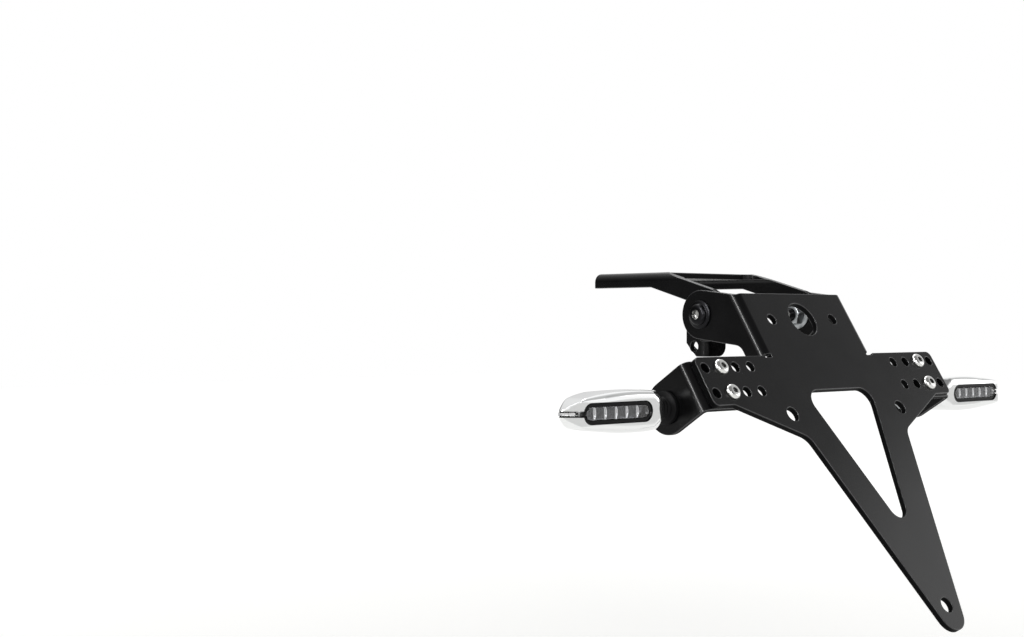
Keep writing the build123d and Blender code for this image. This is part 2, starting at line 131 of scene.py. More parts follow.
def turnedSteel(name, look):
    # turned or rolled steel: fine rings round the axis, kept in turnRadius, and a little mottling
    # real turning marks are finer than here, and are drawn coarser to show
    # within the radius of a socket another colour: brighter where the key wore the black off the
    # black bolts, darker as painted shade in the recess of the stainless screws
    material, tree, shader, place = startMaterial(name, {
        "Metallic": look["metallic"], "Base Color": linear(look["colour"])})
    radius = addNode(tree, "ShaderNodeAttribute", {"attribute_name": "turnRadius"})
    if "socket" in look:
        outside = addNode(tree, "ShaderNodeMath", {"operation": "GREATER_THAN"}, {
            0: radius.outputs["Fac"], 1: look["socket"] * millimetre})
        colour = addNode(tree, "ShaderNodeMix", {"data_type": "RGBA"}, {
            0: outside.outputs[0], 6: linear(look["socketColour"]), 7: linear(look["colour"])})
        tree.links.new(colour.outputs[2], shader.inputs["Base Color"])
    turns = addNode(tree, "ShaderNodeMath", {"operation": "MULTIPLY"}, {
        0: radius.outputs["Fac"], 1: 2 * math.pi * perMetre(look["ring"])})
    rings = addNode(tree, "ShaderNodeMath", {"operation": "SINE"}, {0: turns.outputs[0]})
    mottle = addNode(tree, "ShaderNodeTexNoise", inputs={
        "Vector": place, "Scale": perMetre(look["mottle"]), "Detail": 3.0})
    rough = addNode(tree, "ShaderNodeMapRange", inputs={
        "Value": mottle.outputs["Fac"], "To Min": look["roughLow"], "To Max": look["roughHigh"]})
    bump = addNode(tree, "ShaderNodeBump", inputs={
        "Height": rings.outputs[0], "Distance": look["ringDepth"] * millimetre, "Strength": 0.5})
    tree.links.new(rough.outputs["Result"], shader.inputs["Roughness"])
    tree.links.new(bump.outputs["Normal"], shader.inputs["Normal"])
    return material


def mirrorFinish(name, look):
    # chrome or vacuum metal over a smooth part: a mirror, faintly wavy from what is under it
    material, tree, shader, place = startMaterial(name, {
        "Metallic": 1.0, "Base Color": linear(look["colour"])})
    wave = addNode(tree, "ShaderNodeTexNoise", inputs={
        "Vector": place, "Scale": perMetre(look["wave"]), "Detail": 1.0})
    haze = addNode(tree, "ShaderNodeTexNoise", inputs={
        "Vector": place, "Scale": perMetre(look["haze"]), "Detail": 3.0})
    rough = addNode(tree, "ShaderNodeMapRange", inputs={
        "Value": haze.outputs["Fac"], "To Min": look["roughLow"], "To Max": look["roughHigh"]})
    bump = addNode(tree, "ShaderNodeBump", inputs={
        "Height": wave.outputs["Fac"], "Distance": look["waveDepth"] * millimetre, "Strength": 0.4})
    tree.links.new(rough.outputs["Result"], shader.inputs["Roughness"])
    tree.links.new(bump.outputs["Normal"], shader.inputs["Normal"])
    return material


def clearPlastic(name, look):
    # clear or smoked polycarbonate, moulded: glassy, with a trace of moulding haze
    material, tree, shader, place = startMaterial(name, {
        "Base Color": linear(look["colour"]), "IOR": look["ior"], "Transmission Weight": 1.0})
    haze = addNode(tree, "ShaderNodeTexNoise", inputs={
        "Vector": place, "Scale": perMetre(look["haze"]), "Detail": 2.0})
    rough = addNode(tree, "ShaderNodeMapRange", inputs={
        "Value": haze.outputs["Fac"], "To Min": look["roughLow"], "To Max": look["roughHigh"]})
    tree.links.new(rough.outputs["Result"], shader.inputs["Roughness"])
    return material


def mouldedPlastic(name, look):
    # moulded plastic or rubber: even colour with a fine spark-eroded grain
    # the real grain is finer than here, and is drawn coarser to show
    material, tree, shader, place = startMaterial(name, {"IOR": look["ior"]})
    grain = addNode(tree, "ShaderNodeTexNoise", inputs={
        "Vector": place, "Scale": perMetre(look["grain"]), "Detail": 3.0})
    tint = addNode(tree, "ShaderNodeValToRGB", inputs={"Fac": grain.outputs["Fac"]})
    tint.color_ramp.elements[0].color = linear(look["dark"])
    tint.color_ramp.elements[1].color = linear(look["light"])
    rough = addNode(tree, "ShaderNodeMapRange", inputs={
        "Value": grain.outputs["Fac"], "To Min": look["roughLow"], "To Max": look["roughHigh"]})
    bump = addNode(tree, "ShaderNodeBump", inputs={
        "Height": grain.outputs["Fac"], "Distance": look["grainDepth"] * millimetre,
        "Strength": 0.5})
    tree.links.new(tint.outputs["Color"], shader.inputs["Base Color"])
    tree.links.new(rough.outputs["Result"], shader.inputs["Roughness"])
    tree.links.new(bump.outputs["Normal"], shader.inputs["Normal"])
    return material


finishes = {
    # the sheets: near black, with a soft sheen in broad reflections
    "powder_coat": satinPowderCoat("satinBlackPowderCoat", {
        "dark": "#09090a", "light": "#0e0e0f", "cloud": 14, "specular": 0.2,
        "peel": 1.1, "peelDepth": 0.003, "roughLow": 0.2, "roughHigh": 0.28}),
    # pivot bolts: oiled black, with sockets worn bright
    "black_steel": turnedSteel("blackOxideSteel", {
        "colour": "#1c1c1e", "metallic": 0.9, "ring": 0.45, "ringDepth": 0.004, "mottle": 3,
        "roughLow": 0.22, "roughHigh": 0.34, "socket": 2.2, "socketColour": "#a6a6a4"}),
    # nuts, washers and studs: bluish grey with a soft sheen
    "zinc_steel": turnedSteel("zincPlatedSteel", {
        "colour": "#a6a9ab", "metallic": 1.0, "ring": 0.5, "ringDepth": 0.004, "mottle": 2,
        "roughLow": 0.24, "roughHigh": 0.42}),
    # wing screws: bright heads, with painted shade darkening their sockets
    "stainless_steel": turnedSteel("polishedStainlessSteel", {
        "colour": "#e4e4e2", "metallic": 1.0, "ring": 0.4, "ringDepth": 0.003, "mottle": 4,
        "roughLow": 0.10, "roughHigh": 0.17, "socket": 1.48, "socketColour": "#868685"}),
    # housings: a clear white mirror
    "chrome": mirrorFinish("chromePlate", {
        "colour": "#f7f8f8", "wave": 9, "waveDepth": 0.008, "haze": 5,
        "roughLow": 0.03, "roughHigh": 0.07}),
    # cells behind the lens: a mirror with a trace of haze
    "reflector": mirrorFinish("vacuumMetallisedPlastic", {
        "colour": "#f0f1f2", "wave": 3, "waveDepth": 0.004, "haze": 2,
        "roughLow": 0.04, "roughHigh": 0.09}),
    # lenses: clear, with a shade of grey
    "smoked_lens": clearPlastic("smokedPolycarbonate", {
        "colour": "#eeeeef", "ior": 1.586, "haze": 4, "roughLow": 0.01, "roughHigh": 0.04}),
    # bezels and masks: deep black with a gloss
    "black_plastic": mouldedPlastic("glossBlackAbs", {
        "dark": "#060607", "light": "#0a0a0b", "ior": 1.25, "grain": 0.8, "grainDepth": 0.002,
        "roughLow": 0.14, "roughHigh": 0.22}),
    # boards: white, half matt
    "circuit_board": mouldedPlastic("whiteSolderMask", {
        "dark": "#c9cac6", "light": "#d8d9d5", "ior": 1.5, "grain": 0.4, "grainDepth": 0.004,
        "roughLow": 0.30, "roughHigh": 0.45}),
    # lamp bodies: pale and chalky
    "led": mouldedPlastic("ceramicLampBody", {
        "dark": "#d9d6cc", "light": "#e6e3da", "ior": 1.6, "grain": 0.3, "grainDepth": 0.002,
        "roughLow": 0.35, "roughHigh": 0.50}),
    # friction washers: black with a dry sheen
    "nylon": mouldedPlastic("blackNylon", {
        "dark": "#161617", "light": "#1e1e20", "ior": 1.53, "grain": 0.5, "grainDepth": 0.006,
        "roughLow": 0.40, "roughHigh": 0.55}),
    # stems: a dull, deep black
    "rubber": mouldedPlastic("mouldedRubber", {
        "dark": "#0a0a0b", "light": "#0f0f10", "ior": 1.2, "grain": 0.7, "grainDepth": 0.015,
        "roughLow": 0.45, "roughHigh": 0.60}),
}
# painted highlight: the rounded corners of the sheet get a lighter coat colour and a stronger
# sheen, so they show as bright lines
paintedEdgeHighlightCoat = satinPowderCoat("powderCoatPaintedEdgeHighlight", {
    "dark": "#29292a", "light": "#3b3b3c", "cloud": 6, "specular": 0.5,
    "peel": 1.1, "peelDepth": 0.008, "roughLow": 0.2, "roughHigh": 0.28})
# the laser leaves the cut walls rough, so the coat looks dull there
cutCoat = satinPowderCoat("coatOverCutEdge", {
    "dark": "#09090a", "light": "#0e0e0f", "cloud": 6, "specular": 0.04,
    "peel": 0.5, "peelDepth": 0.02, "roughLow": 0.5, "roughHigh": 0.6})
# the bowls are metallised thinly and look grey
darkMirror = mirrorFinish("smokedVacuumMetal", {
    "colour": "#8f9092", "wave": 3, "waveDepth": 0.004, "haze": 2,
    "roughLow": 0.06, "roughHigh": 0.12})
# the lamps' domes: glassy, a little warm
clearSilicone = clearPlastic("clearSilicone", {
    "colour": "#f3f1ea", "ior": 1.41, "haze": 1, "roughLow": 0.02, "roughHigh": 0.05})
extraFinishes = (paintedEdgeHighlightCoat, cutCoat, darkMirror, clearSilicone)
print("materials made:", len(finishes) + len(extraFinishes))


# meshes
mergeGap = {"drawn": 1e-7, "solid": 2e-6}  # metres; corners closer than this are one


def skin(name, loops, ringClosed=False):
    # faces between successive loops; the ends are capped unless the last loop meets the first
    count = len(loops[0])
    points = [point for loop in loops for point in loop]
    faces = []
    pairs = list(zip(range(len(loops)), range(1, len(loops))))
    if ringClosed:
        pairs.append((len(loops) - 1, 0))
    else:
        faces.append(list(range(count))[::-1])
        faces.append([(len(loops) - 1) * count + i for i in range(count)])
    for low, high in pairs:
        for i in range(count):
            j = (i + 1) % count
            faces.append((low * count + i, low * count + j, high * count + j, high * count + i))
    mesh = bpy.data.meshes.new(name)
    mesh.from_pydata(points, [], faces)
    work = bmesh.new()
    work.from_mesh(mesh)
    bmesh.ops.remove_doubles(work, verts=work.verts, dist=mergeGap["drawn"])
    bmesh.ops.recalc_face_normals(work, faces=work.faces)
    work.to_mesh(mesh)
    work.free()
    return mesh


def smoothed(mesh, creaseAngle):
    # smooth shading, with edges over that angle in degrees left sharp
    mesh.shade_smooth()
    mesh.set_sharp_from_angle(angle=math.radians(creaseAngle))
    return mesh


def evaluated(source):
    # the object's mesh with its modifiers applied
    graph = bpy.context.evaluated_depsgraph_get()
    return bpy.data.meshes.new_from_object(source.evaluated_get(graph))


def placed(name, data):
    # an object with that mesh, light or camera, in the scene
    thing = bpy.data.objects.new(name, data)
    scene.collection.objects.link(thing)
    return thing


def finishPiece(piece, slot, body="holder", replaced=(), finish=None):
    # finish, body and slot of a piece, and the nodes that it stands in for
    piece.data.materials.clear()
    piece.data.materials.append(finish or finishes[slot])
    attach(piece, body)
    if replaced:
        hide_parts(*replaced)


def paintFaces(piece, finish, chosen):
    # another finish on the faces that the test picks
    piece.data.materials.append(finish)
    last = len(piece.data.materials) - 1
    for face in piece.data.polygons:
        if chosen(face):
            face.material_index = last


def mergedWork(nodeName):
    # a copy of a solid's triangles with shared corners
    work = bmesh.new()
    work.from_mesh(nodes[nodeName].data)
    bmesh.ops.remove_doubles(work, verts=work.verts, dist=mergeGap["solid"])
    return work


def meshFrom(work, name):
    # a plain mesh of the worked copy, without the normals stored with the solid
    mesh = bpy.data.meshes.new(name)
    work.to_mesh(mesh)
    work.free()
    stored = mesh.attributes.get("custom_normal")
    if stored:
        mesh.attributes.remove(stored)
    return mesh


def breakEdges(piece, edge):
    # rounds the sharp edges, and keeps flat faces flat in the shading
    bevel = piece.modifiers.new("brokenEdges", "BEVEL")
    bevel.width = edge["width"] * millimetre
    bevel.segments = edge["segments"]
    bevel.limit_method = "ANGLE"
    bevel.angle_limit = math.radians(edge["angle"])
    bevel.use_clamp_overlap = edge["clamp"]
    bevel.miter_outer = edge["miter"]
    weight = piece.modifiers.new("flatFacesFlat", "WEIGHTED_NORMAL")
    weight.keep_sharp = True
    weight.weight = 100  # the largest faces decide
    return bevel


# sheet metal and mouldings that keep their solid's form and get broken edges
flatWithin = 0.8  # degrees by which joined-up triangles may differ


def softened(nodeName, slot, edge, body="holder"):
    work = mergedWork(nodeName)
    bmesh.ops.dissolve_limit(
        work, angle_limit=math.radians(flatWithin), verts=work.verts, edges=work.edges)
    mesh = meshFrom(work, nodeName + "_finished")
    mesh.shade_smooth()
    piece = placed(nodeName + "_finished", mesh)
    bevel = breakEdges(piece, edge)
    finishPiece(piece, slot, body, [nodeName])
    if "sheet" in edge:
        # the bevelled corners take the lighter coat: a painted highlight
        piece.data.materials.append(paintedEdgeHighlightCoat)
        bevel.material = 1
        paintFaces(piece, cutCoat, cutFaces(mesh, edge["sheet"]))
    return piece


# how far off a strip may be: width in mm, area in mm2 plus a share of it
stripFit = {"width": 0.03, "area": 0.1, "share": 0.05}


def cutFaces(mesh, sheet):
    # picks the strips that are as wide as the sheet is thick
    def isStrip(face):
        corners = [mesh.vertices[i].co for i in face.vertices]
        lengths = [(a - b).length / millimetre for a, b in zip(corners, corners[1:] + corners[:1])]
        across = [length for length in lengths if abs(length - sheet) < stripFit["width"]]
        stripArea = sheet * (sum(lengths) / 2 - sheet)
        off = abs(face.area / millimetre ** 2 - stripArea)
        return len(across) > 1 and off < stripFit["area"] + stripFit["share"] * stripArea
    return isStrip


# laser-cut edges; sheet is the thickness
sheetEdge = {"width": 0.36, "segments": 3, "angle": 40, "clamp": False, "miter": "MITER_ARC",
             "sheet": 3.0}
bracketEdge = {**sheetEdge, "sheet": 2.5}
# moulded edges
lensEdge = {"width": 0.25, "segments": 3, "angle": 40, "clamp": True, "miter": "MITER_ARC"}
bezelEdge = {"width": 0.2, "segments": 2, "angle": 40, "clamp": True, "miter": "MITER_ARC"}
softened("number_plate_holder", "powder_coat", sheetEdge)
softened("tail_bracket", "powder_coat", sheetEdge, "root")
for side in sides:
    softened("indicator_bracket_" + side, "powder_coat", bracketEdge)
    softened("indicator_bezel_" + side, "black_plastic", bezelEdge)
print("sheet metal and bezels finished")


# indicator housings: lofted along the stud, then the lens pocket and the slit are cut
housing = {
    "seat": 8.5, "tip": 67.3, "sections": 90, "evenShare": 0.35,
    "innerArc": (15.6, 8.6), "shoulder": (16.5, 8.55), "nose": (57.5, 6.7), "tipHalf": 1.4,
    "flankBulge": 1.2, "noseBulge": 1.0,
    "rear": 11.2, "front": 8.0, "innerRoundRear": 8.5, "innerRoundFront": 5.0,
    "frontFlatEnd": 28.0, "lensRimEnd": 61.7, "tipRear": 5.2, "tipFront": -3.0,
    "rearRound": 3.0, "frontRound": 7.0, "frontLeast": 1.2, "frontSharpens": 3.0,
    "domeReach": 10.0, "domeRound": 5.0, "domePower": 0.8,  # the inner end rounds off into a dome
    "rim": 0.45, "rimLeast": 0.35, "heightShare": 0.95, "depthShare": 0.48,  # limits of the corners
    "lensStart": 20.0, "lensLength": 40.5, "lensHeight": 9.2, "pocketFloor": 2.1, "maskLap": 2.0,
    "slit": 2.6, "overCut": 5.0, "bodyCrease": 50, "cutCrease": 40,
    "slitFacing": 0.1, "maskFacing": 0.5,  # most that black faces look along the stud
}
rimEdge = {"width": 0.22, "segments": 2, "angle": 55, "clamp": True, "miter": "MITER_SHARP"}


def bulged(x, start, stop, rise):
    # height at x of a shallow arc over the chord from start to stop
    chord = math.hypot(stop[0] - start[0], stop[1] - start[1])
    t = (x - start[0]) / (stop[0] - start[0])
    radius = (chord ** 2 / 4 + rise ** 2) / (2 * rise)
    over = math.sqrt(radius ** 2 - ((t - 0.5) * chord) ** 2) - (radius - rise)
    return start[1] + (stop[1] - start[1]) * t + over


def housingSection(x, h=housing):
    # half height, rear and front reach, and the two corner radii of the housing at x
    centre, arc = h["innerArc"]
    if x < h["shoulder"][0]:
        half = math.sqrt(arc ** 2 - (centre - x) ** 2)
    elif x < h["nose"][0]:
        half = bulged(x, h["shoulder"], h["nose"], h["flankBulge"])
    else:
        half = bulged(x, h["nose"], (h["tip"], h["tipHalf"]), h["noseBulge"])
    roundRear, roundFront = h["innerRoundRear"], h["innerRoundFront"]
    rear = h["rear"]
    if x < h["seat"] + roundRear:
        rear += math.sqrt(max(roundRear ** 2 - (h["seat"] + roundRear - x) ** 2, 0)) - roundRear
    elif x > h["lensRimEnd"]:
        rear += (h["tipRear"] - rear) * (x - h["lensRimEnd"]) / (h["tip"] - h["lensRimEnd"])
    front = h["front"]
    if x < h["seat"] + roundFront:
        front += math.sqrt(max(roundFront ** 2 - (h["seat"] + roundFront - x) ** 2, 0)) - roundFront
    elif x > h["frontFlatEnd"]:
        run = x - h["frontFlatEnd"]
        fullRun = h["tip"] - h["frontFlatEnd"]
        drop = h["front"] - h["tipFront"]
        sweep = (fullRun ** 2 + drop ** 2) / (2 * drop)
        front -= sweep - math.sqrt(sweep ** 2 - run ** 2)
    inner = min(max((h["seat"] + h["domeReach"] - x) / h["domeReach"], 0), 1)
    rearCorner = h["rearRound"] + h["domeRound"] * inner ** h["domePower"]
    if x > h["lensStart"]:
        beside = half - h["lensHeight"] / 2 - h["rim"]  # what the lens leaves for the corner
        rearCorner = min(rearCorner, max(beside, h["rimLeast"]))
    frontCorner = h["frontRound"]
    if x >= h["frontFlatEnd"]:  # sharper where the front draws in
        sharpened = frontCorner - h["frontSharpens"] * (h["front"] - front)
        frontCorner = max(sharpened, h["frontLeast"])
    most = min(half * h["heightShare"], (rear + front) * h["depthShare"])
    return half, rear, front, min(rearCorner, most), min(frontCorner, most)


def sectionLoop(x, arcSteps=10, flatSteps=8):
    # closed outline of the housing at x, in (y, z)
    half, rear, front, rearCorner, frontCorner = housingSection(x)
    corners = (
        (-rear + rearCorner, -half + rearCorner, rearCorner, 180),
        (front - frontCorner, -half + frontCorner, frontCorner, 270),
        (front - frontCorner, half - frontCorner, frontCorner, 0),
        (-rear + rearCorner, half - rearCorner, rearCorner, 90),
    )
    arcs = []
    for cy, cz, radius, first in corners:
        angles = [math.radians(first + 90 * step / arcSteps) for step in range(arcSteps + 1)]
        arcs.append([(cy + radius * math.cos(a), cz + radius * math.sin(a)) for a in angles])
    loop = []
    for arc, nextArc in zip(arcs, arcs[1:] + arcs[:1]):
        loop += arc
        (fromY, fromZ), (toY, toZ) = arc[-1], nextArc[0]
        for step in range(1, flatSteps):
            t = step / flatSteps
            loop.append((fromY + (toY - fromY) * t, fromZ + (toZ - fromZ) * t))
    return loop


studPlaces = {}  # where each stud's axis meets the bracket's outer face
for side in sides:
    low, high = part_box("indicator_stem_" + side)
    inner = low.x if sides[side] > 0 else high.x
    studPlaces[side] = Vector((inner, (low.y + high.y) / 2, (low.z + high.z) / 2))


def onStud(side, x, y, z):
    # a point given in mm from there, with x outwards along the stud
    origin = studPlaces[side]
    return (origin.x + sides[side] * x * millimetre,
            origin.y + y * millimetre, origin.z + z * millimetre)


def stadium(start, length, height, steps=24):
    # round-ended outline in (x, z)
    radius = height / 2
    points = []
    for centre, first in ((start + length - radius, -90), (start + radius, 90)):
        for step in range(steps + 1):
            angle = math.radians(first + 180 * step / steps)
            points.append((centre + radius * math.cos(angle), radius * math.sin(angle)))
    return points


def makeHousing(side, h=housing):
    # sections stand closer together towards both ends
    stations = []
    for i in range(h["sections"] + 1):
        even = i / h["sections"]
        eased = 0.5 - 0.5 * math.cos(math.pi * even)
        along = h["evenShare"] * even + (1 - h["evenShare"]) * eased
        stations.append(h["seat"] + (h["tip"] - h["seat"]) * along)
    loops = [[onStud(side, x, y, z) for y, z in sectionLoop(x)] for x in stations]
    form = smoothed(skin("housingBody_" + side, loops), h["bodyCrease"])
    body = placed("housingBody_" + side, form)
    pocket = stadium(h["lensStart"], h["lensLength"], h["lensHeight"])
    slitStart = h["lensStart"] + h["lensLength"] - h["lensHeight"] / 2
    slitEnd = h["tip"] + h["overCut"]
    half = h["slit"] / 2
    slit = [(slitStart, -half), (slitEnd, -half), (slitEnd, half), (slitStart, half)]
    cutters = []
    for name, outline in (("pocketCutter", pocket), ("slitCutter", slit)):
        reach = (-h["rear"] - h["overCut"], -h["pocketFloor"])
        walls = [[onStud(side, x, y, z) for x, z in outline] for y in reach]
        cutters.append(placed(name, skin(name, walls)))
        cut = body.modifiers.new(name, "BOOLEAN")
        cut.operation = "DIFFERENCE"
        cut.solver = "EXACT"
        cut.object = cutters[-1]
    mesh = evaluated(body)
    for thing in [body] + cutters:
        bpy.data.objects.remove(thing)
    piece = placed("indicator_housing_" + side + "_finished", smoothed(mesh, h["cutCrease"]))
    breakEdges(piece, rimEdge)
    finishPiece(piece, "chrome", replaced=["indicator_housing_" + side])
    origin = studPlaces[side]
    slack = 1e-6

    def slitPaintedShade(face):
        # painted shade: the slit's walls and floor take the black plastic finish instead of chrome,
        # so the slit reads dark
        heights = [abs(mesh.vertices[i].co.z - origin.z) for i in face.vertices]
        outer = abs(face.center.x - origin.x) > slitStart * millimetre
        level = max(heights) < half * millimetre + slack
        return level and outer and abs(face.normal.x) < h["slitFacing"]
    paintFaces(piece, finishes["black_plastic"], slitPaintedShade)


def makeLens(side, h=housing):
    # the lens is masked black where it passes under the bezel towards the slit
    piece = softened("indicator_lens_" + side, "smoked_lens", lensEdge)
    maskStart = h["lensStart"] + h["lensLength"] - h["maskLap"]

    def isBridge(face):
        reach = abs(face.center.x - studPlaces[side].x) / millimetre
        across = abs(face.normal.x) < h["maskFacing"]
        return maskStart < reach < h["lensRimEnd"] and across
    paintFaces(piece, finishes["black_plastic"], isBridge)


for side in sides:
    makeHousing(side)
    makeLens(side)
print("indicator housings lofted and cut, lenses masked")


# turned and hexagonal pieces, drawn in mm along z with the seat at 0
def plain(radius):
    # the same radius all round
    return lambda angle: radius


def hexagon(flats, limit=1e3):
    # a hexagon's radius at an angle, with its corners turned down to a limit
    return lambda angle: min(limit, flats / 2 / math.cos(angle % (math.pi / 3) - math.pi / 6))


def threadRows(start, stop, thread, turnRows=10, runOutRows=5):
    # rows of a screw thread, which runs out at both ends
    rows = []
    steps = max(int(abs(stop - start) / thread["pitch"] * turnRows), 2)
    for step in range(steps + 1):
        z = start + (stop - start) * step / steps
        edge = min(min(step, steps - step) / runOutRows, 1)

        def radius(angle, z=z, edge=edge):
            wave = abs(2 * ((z / thread["pitch"] - angle / (2 * math.pi)) % 1) - 1)
            return thread["radius"] - thread["depth"] * (1 - wave * edge)
        rows.append((z, radius))
    return rows


def turned(name, rows, ringClosed=False, around=48):
    # rows of (z, radius at an angle) become a mesh that knows each corner's radius
    loops = []
    for z, radius in rows:
        angles = [2 * math.pi * i / around for i in range(around)]
        loops.append([(radius(a) * math.cos(a), radius(a) * math.sin(a), z) for a in angles])
    mesh = smoothed(skin(name, loops, ringClosed), creaseAngle=35)
    reach = mesh.attributes.new("turnRadius", "FLOAT", "POINT")
    for vertex, value in zip(mesh.vertices, reach.data):
        value.value = math.hypot(vertex.co.x, vertex.co.y) * millimetre
    return mesh


def domeRows(base, crown, steps=7):
    # rounded rise of a button head from base (z, radius) to crown (z, radius)
    rows = []
    for step in range(steps + 1):
        angle = math.pi / 2 * step / steps
        z = base[0] + (crown[0] - base[0]) * math.sin(angle)
        rows.append((z, plain(crown[1] + (base[1] - crown[1]) * math.cos(angle))))
    return rows


# in mm, apart from shares: threadDepth of pitch, core of radius, wall of flange, drill of socket
screwForm = {
    "threadDepth": 0.54, "core": 0.72, "point": 0.3, "runOut": 0.2,
    "rim": 0.15, "rimRise": 0.12, "domeStart": 0.5,
    "flangeWall": 0.75, "flangeDrop": 0.3, "fillet": 0.25, "filletStart": 0.1, "flangedDome": 0.45,
    "mouth": 0.25, "mouthDepth": 0.12, "crownLip": 0.1,
    "drill": 0.46, "drillStart": 0.1, "drillEnd": 0.45, "drillTip": 0.05,
}


def buttonScrew(name, size, f=screwForm):
    # point, thread, shank, flange if there is one, domed head, hexagon socket
    reach, high = size["head"]
    shank, socket, radius = size["plainShank"], size["socket"], size["radius"]
    thread = {"pitch": size["pitch"], "radius": radius, "depth": f["threadDepth"] * size["pitch"]}
    rows = [(-size["length"], plain(radius * f["core"]))]
    rows += threadRows(-size["length"] + f["point"], -shank, thread)
    rows += [(-shank + f["runOut"], plain(radius)), (0, plain(radius))]
    if "flange" in size:
        rim, thick = size["flange"]
        rows += [(0, plain(rim - f["rim"])), (f["rim"], plain(rim)),
                 (thick * f["flangeWall"], plain(rim)), (thick, plain(rim - f["flangeDrop"])),
                 (thick + f["filletStart"], plain(reach + f["fillet"])),
                 (thick + f["fillet"], plain(reach))]
        base = (thick + f["flangedDome"], reach)
    else:
        rows += [(0, plain(reach - f["rim"])), (f["rimRise"], plain(reach))]
        base = (f["domeStart"], reach)
    rows += domeRows(base, (high, size["crown"]))
    floor = high - size["socketDepth"]
    rows += [(high, hexagon(socket + f["mouth"], size["crown"] - f["crownLip"])),
             (high - f["mouthDepth"], hexagon(socket)), (floor, hexagon(socket)),
             (floor - f["drillStart"], plain(socket * f["drill"])),
             (floor - f["drillEnd"], plain(f["drillTip"]))]
    return turned(name, rows)


# in mm, apart from the flange's wall and slope, which are shares of its thickness
nutForm = {
    "boreChamfer": 0.4, "boreDepth": 0.35,
    "rim": 0.2, "flangeWall": 0.5, "flangeSlope": 0.9, "flangeBlend": 0.15,
    "seatIn": 0.1, "topIn": 0.15, "flatsOut": 0.05, "cornerIn": 0.02,
    "seatChamfer": (0.1, 0.45, 0.55), "topChamfer": (0.1, 0.5, 0.6),  # at flats, corners, full
    "collarFoot": ((0.05, 0.1), (0.25, 0.0)),  # up from the top and out from the collar's wall
    "collarRoll": ((0.45, 0.0), (0.12, 0.2), (0.0, 0.5), (0.0, 0.8), (0.25, 0.85)),  # down and in
    "collarBore": 0.3,
}


def hexNut(name, size, f=nutForm):
    # bore, seat face, flange or chamfered hexagon, top, rolled-in collar of a locking nut
    flats, high, bore = size["flats"], size["height"], size["bore"]
    corner = flats / math.sqrt(3)
    turnedFlats = hexagon(flats, flats / 2 + f["flatsOut"])
    turnedCorners = hexagon(flats, corner - f["cornerIn"])
    rows = [(f["boreDepth"], plain(bore)), (0, plain(bore + f["boreChamfer"]))]
    if "flange" in size:
        reach, thick = size["flange"]
        rows += [(0, plain(reach - f["rim"])), (f["rim"], plain(reach)),
                 (thick * f["flangeWall"], plain(reach)),
                 (thick * f["flangeSlope"], plain(corner + f["flangeBlend"])),
                 (thick, hexagon(flats, corner))]
    else:
        atFlats, atCorners, full = f["seatChamfer"]
        rows += [(0, plain(flats / 2 - f["seatIn"])), (atFlats, turnedFlats),
                 (atCorners, turnedCorners), (full, hexagon(flats))]
    top = high - size.get("collar", 0)
    atFlats, atCorners, full = f["topChamfer"]
    rows += [(top - full, hexagon(flats)), (top - atCorners, turnedCorners),
             (top - atFlats, turnedFlats), (top, plain(flats / 2 - f["topIn"]))]
    if "collar" in size:
        wall = size["collarRadius"]
        rows += [(top + up, plain(wall + out)) for up, out in f["collarFoot"]]
        rows += [(high - down, plain(wall - into)) for down, into in f["collarRoll"]]
        rows.append((high - f["collarBore"], plain(bore)))
    else:
        rows += [(high, plain(bore + f["boreChamfer"])), (high - f["boreDepth"], plain(bore))]
    return turned(name, rows, ringClosed=True)


def flatWasher(name, size):
    # flat ring with broken edges
    thick, reach, bore, edge = size["thick"], size["reach"], size["bore"], size["edge"]
    return turned(name, [
        (edge, plain(bore)), (0, plain(bore + edge)),
        (0, plain(reach - edge)), (edge, plain(reach)),
        (thick - edge, plain(reach)), (thick, plain(reach - edge)),
        (thick, plain(bore + edge)), (thick - edge, plain(bore))], ringClosed=True)


def hollowStud(name, size):
    # from the free end at +tail down to the root in the housing
    radius, bore, tail, root = size["radius"], size["bore"], size["tail"], size["root"]
    thread = {"pitch": size["pitch"], "radius": radius, "depth": size["threadDepth"]}
    rows = [(tail, plain(bore)), (tail, plain(radius - size["pointIn"]))]
    rows += threadRows(tail - size["point"], size["threadEnd"], thread)
    rows += [(size["shankEnd"], plain(radius)), (-root, plain(radius)), (-root, plain(bore))]
    return turned(name, rows, ringClosed=True)


def ribbedStem(name, size):
    # rubber stem: flange against the bracket, soft ribs, neck against the housing
    bore, flange, thick = size["bore"], size["flange"], size["flangeThick"]
    seatEdge, outerEdge = size["seatEdge"], size["outerEdge"]
    rows = [(0, plain(bore)), (0, plain(flange - seatEdge)), (seatEdge, plain(flange)),
            (thick - outerEdge, plain(flange)), (thick, plain(flange - outerEdge))]
    start = thick + size["ribStart"]
    for step in range(size["steps"] + 1):
        t = step / size["steps"]
        swell = size["ribHalf"] * math.cos(2 * math.pi * size["ribs"] * t) - size["ribHalf"]
        rows.append((start + (size["length"] - start) * t, plain(size["neck"] + swell)))
    rows.append((size["length"], plain(bore)))
    return turned(name, rows, ringClosed=True)


